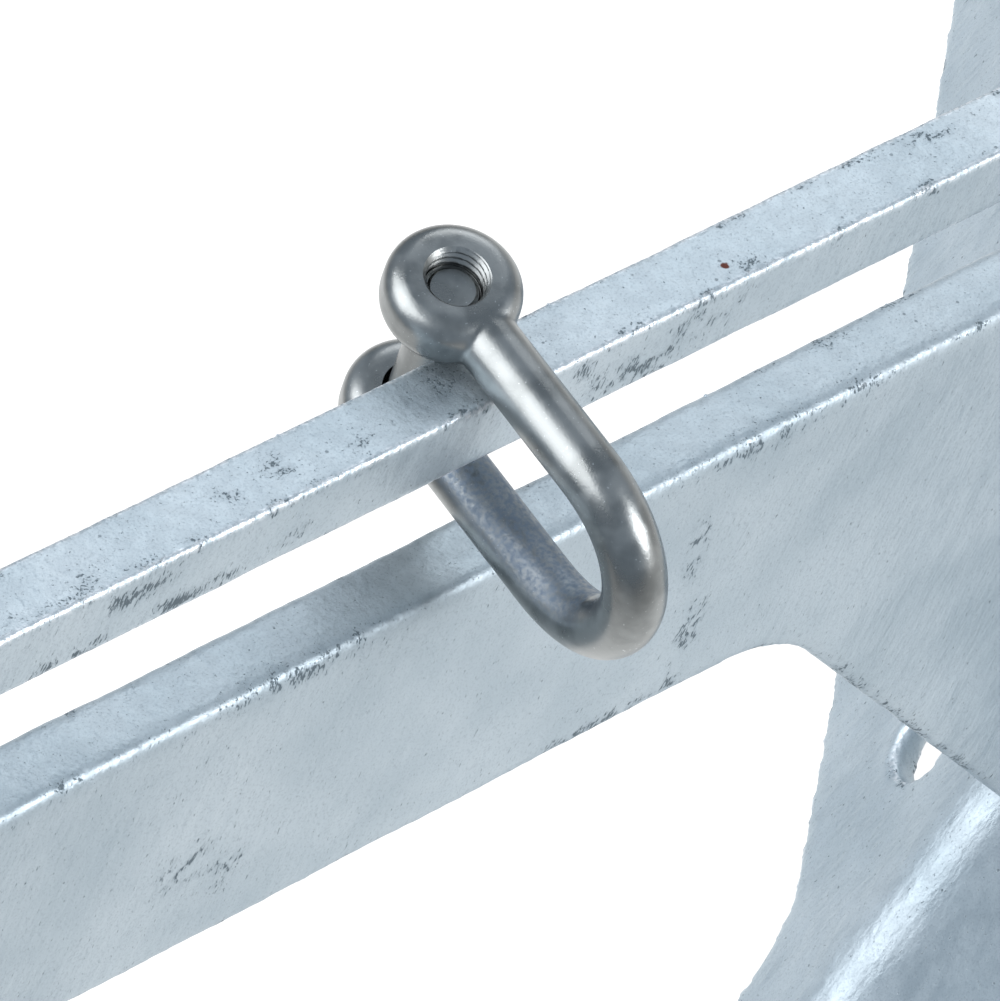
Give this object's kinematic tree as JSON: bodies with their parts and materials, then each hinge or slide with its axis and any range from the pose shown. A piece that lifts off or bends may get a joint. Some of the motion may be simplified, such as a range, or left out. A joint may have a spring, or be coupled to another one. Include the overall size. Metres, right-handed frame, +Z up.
{
  "type": "plow anchor",
  "caption": "Galvanised plow anchor: an arched shank plate with a square slide rail above it, a folded fluke on three points, and a D shackle that slides on the rail.",
  "frame": {"origin": "on the ground under the middle of the whole anchor's box, as it stands on its point and two wing corners", "axes": "+Z up, +X from the shank's free end towards the crown, the shank plate lies in the plane of X and Z"},
  "size_m": [0.619, 0.3534, 0.3975],
  "materials": {
    "galvanised_plate": "hot-dip galvanised, matt and mottled",
    "galvanised_bar": "hot-dip galvanised square bar, scuffed edges",
    "galvanised_casting": "galvanised over a cast and forged surface",
    "weld_metal": "rippled weld bead, galvanised over",
    "stainless": "tumbled stainless steel, satin"
  },
  "bodies": {
    "anchor": {"shank": "galvanised_plate", "slide_rail": "galvanised_bar", "rail_rear_weld_front": "weld_metal", "rail_rear_weld_back": "weld_metal", "rail_front_weld_front": "weld_metal", "rail_front_weld_back": "weld_metal", "ridge_fold": "galvanised_plate", "blade_near": "galvanised_plate", "blade_far": "galvanised_plate", "forged_point": "galvanised_casting", "ballast_casting": "galvanised_casting", "ballast_side_near": "galvanised_plate", "ballast_side_far": "galvanised_plate", "heel_brace": "galvanised_plate", "web_weld_near": "weld_metal", "brace_weld_near": "weld_metal", "side_plate_weld_near": "weld_metal", "web_weld_far": "weld_metal", "brace_weld_far": "weld_metal", "side_plate_weld_far": "weld_metal"},
    "shackle_pin_body": {"shackle_pin": "stainless"},
    "shackle_bow_body": {"shackle_bow": "stainless"}
  },
  "joints": [
    {"name": "shackle_slide", "type": "slide", "parent": "anchor", "child": "shackle_pin_body", "axis": [0.8376, 0, -0.5463], "range_m": [-0.09, 0.165]},
    {"name": "bow_swing", "type": "hinge", "parent": "shackle_pin_body", "child": "shackle_bow_body", "pos_m": [0.1014, 0.01248, 0.3243], "axis": [0.3877, -0.2011, 0.8996], "range_deg": [-2, 50]}
  ]
}
